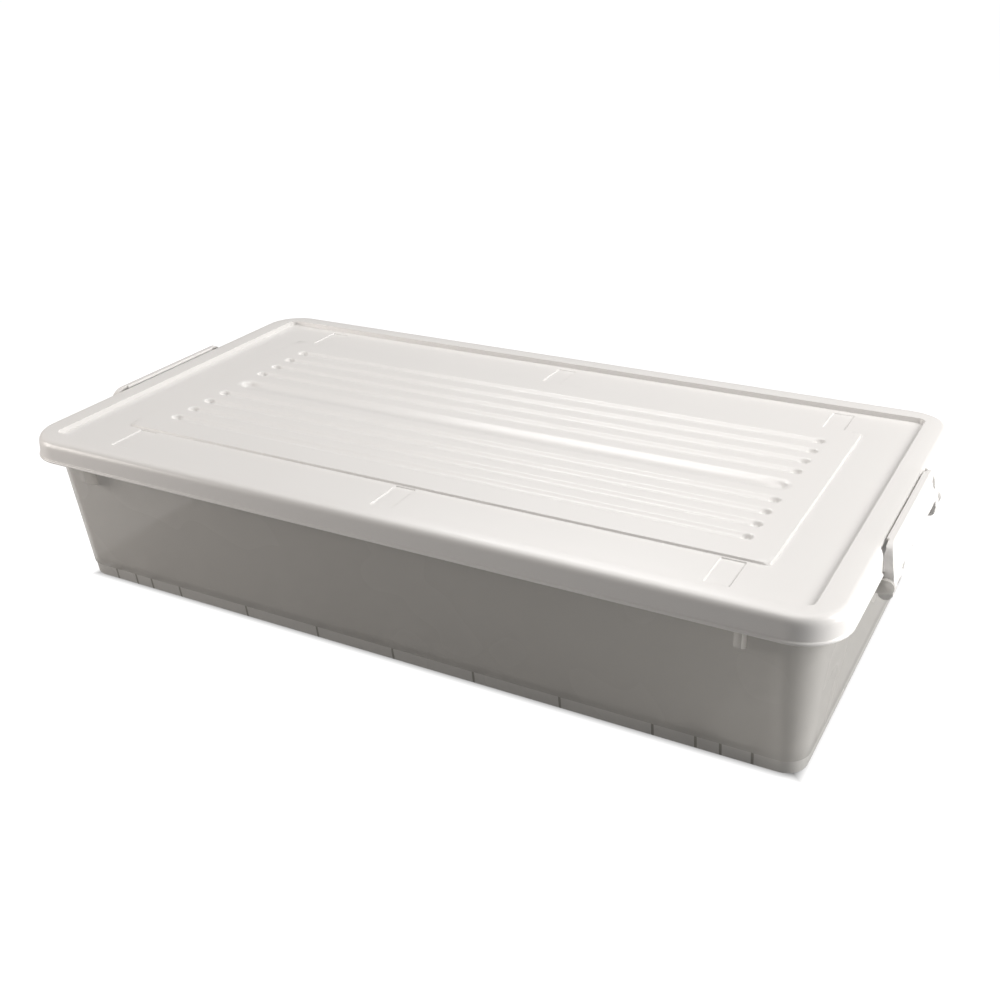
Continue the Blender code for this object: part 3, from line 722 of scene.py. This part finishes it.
# the frame's handle remeshed fine and relaxed, so every edge gets the soft radius of a moulding
def makeHandle(node, mat, s):
    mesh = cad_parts[node].data.copy()
    mesh.materials.clear()
    mesh.materials.append(mat)
    obj = bpy.data.objects.new(node + "_moulding", mesh)
    bpy.context.scene.collection.objects.link(obj)
    # one end of the bar keeps its ridged grip, and the other arm gets a small gate mark
    side = 1 if node == "right_handle" else -1
    bm = bmesh.new()
    size = [(b - a) * mm for a, b in s["gripCut"]]
    middle = [(a + b) / 2 * mm for a, b in s["gripCut"]]
    addPart(bm, size, (side * middle[0], side * middle[1], middle[2]))
    x, y, z, r = s["dimple"]
    ball = bmesh.ops.create_uvsphere(bm, u_segments=16, v_segments=10, radius=r)["verts"]
    bmesh.ops.translate(bm, vec=Vector((side * x, side * y, z)), verts=ball)
    cutter = bmObject(node + "_trim", bm, mat)
    modified(obj, [("BOOLEAN", {"operation": "DIFFERENCE", "object": cutter, "solver": "EXACT"})])
    bpy.data.objects.remove(cutter)
    done = modified(obj, [("REMESH", {"mode": "VOXEL", "voxel_size": s["voxel"]}),
                          ("SMOOTH", {"factor": 0.5, "iterations": s["smoothing"]}),
                          ("DECIMATE", {"ratio": s["keep"]})])
    done.materials.clear()
    done.materials.append(mat)
    done.shade_smooth()
    print(node, len(done.polygons), "faces")
    return obj


wheel = {
    "r": 12 * mm, "half": 6 * mm, "bore": 2.4 * mm, "hub": 4.8 * mm,
    "rim": 9.0 * mm, "dish": 1.3 * mm, "sides": 72,
}


def makeWheel(node, mat, s):
    low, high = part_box(node)
    cx, cy, cz = ((a + b) / 2 for a, b in zip(low, high))
    half, bore, hub, rim, tread = s["half"], s["bore"], s["hub"], s["rim"], s["r"]
    inner = half - s["dish"]
    side = [(bore, half - 0.3 * mm), (bore + 0.3 * mm, half), (hub - 0.3 * mm, half), (hub, half - 0.3 * mm)]
    side += [(hub + 0.4 * mm, inner + 0.3 * mm), (hub + 0.8 * mm, inner), (rim - 0.8 * mm, inner)]
    side += [(rim - 0.4 * mm, inner + 0.3 * mm), (rim, half - 0.3 * mm), (rim + 0.3 * mm, half)]
    side += [(tread - 1.0 * mm, half), (tread - 0.4 * mm, half - 0.2 * mm), (tread, half - 1.0 * mm)]
    side += [(tread, half * 0.35), (tread - 0.35 * mm, half * 0.28)]  # a shallow channel round the tread
    profile = side + [(r, -w) for r, w in side[::-1]]
    n, sides = len(profile), s["sides"]
    verts = []
    for k in range(sides):
        a = 2 * math.pi * k / sides
        verts += [(cx + w, cy + r * math.cos(a), cz + r * math.sin(a)) for r, w in profile]
    faces = [(k * n + i, k * n + (i + 1) % n, ((k + 1) % sides) * n + (i + 1) % n, ((k + 1) % sides) * n + i)
             for k in range(sides) for i in range(n)]
    return meshObject(node + "_moulding", verts, faces, mat, 40)


def makePin(node, mat):
    low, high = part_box(node)
    cy, cz, r = (low[1] + high[1]) / 2, (low[2] + high[2]) / 2, (high[1] - low[1]) / 2
    steps = [(low[0], r - 0.4 * mm), (low[0] + 0.12 * mm, r - 0.15 * mm), (low[0] + 0.4 * mm, r)]
    steps += [(high[0] - 0.4 * mm, r), (high[0] - 0.12 * mm, r - 0.15 * mm), (high[0], r - 0.4 * mm)]
    sides = 32
    turns = [2 * math.pi * k / sides for k in range(sides)]
    verts = [(x, cy + q * math.cos(a), cz + q * math.sin(a)) for x, q in steps for a in turns]
    faces = ringFaces(0, sides, len(steps))
    faces += [list(range(sides)), list(range((len(steps) - 1) * sides, len(steps) * sides))]
    return meshObject(node + "_turned", verts, faces, mat, 40)


def put(piece, body, slot, *nodes):
    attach(piece, body)
    if nodes:
        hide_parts(*nodes)


def main():
    bpy.context.scene.view_settings.view_transform = "Standard"
    makeCamera(cameraView)
    makeLights(studio)
    makeFloor(studio)
    print("stage ready")

    white = makeWhitePlastic("lidPlastic", whitePlastic)
    handleWhite = makeWhitePlastic("handlePlastic", {**whitePlastic, "roughness": (0.24, 0.28)})
    milky = makeMilkyPlastic("tubPlastic", milkyPlastic)
    put(makeLid(white, lid), "lid", "lid_plastic", "lid")
    print("lid ready")
    put(makeTubShell(milky, tub), "tub", "clear_plastic", "tub")
    fittings = [makeHousings(milky, tub), makeTabs(milky, tub), makeLugs(milky, tub)]
    for piece in fittings + makeRibs(milky, tub):
        put(piece, "tub", "clear_plastic")
    print("tub ready")
    for node in ("left_handle", "right_handle"):
        put(makeHandle(node, handleWhite, handleFinish), node, "handle_plastic", node)
    wheelGrey, steel = makeWheelPlastic(), makePinSteel()
    for row in ("front", "back"):
        for column in ("left", "middle", "right"):
            place = f"{row}_{column}"
            roller, pin = place + "_wheel", place + "_axle_pin"
            put(makeWheel(roller, wheelGrey, wheel), roller, "wheel_plastic", roller)
            put(makePin(pin, steel), "tub", "pin_steel", pin)
    print("handles and wheels ready")
    bpy.context.view_layer.update()


main()
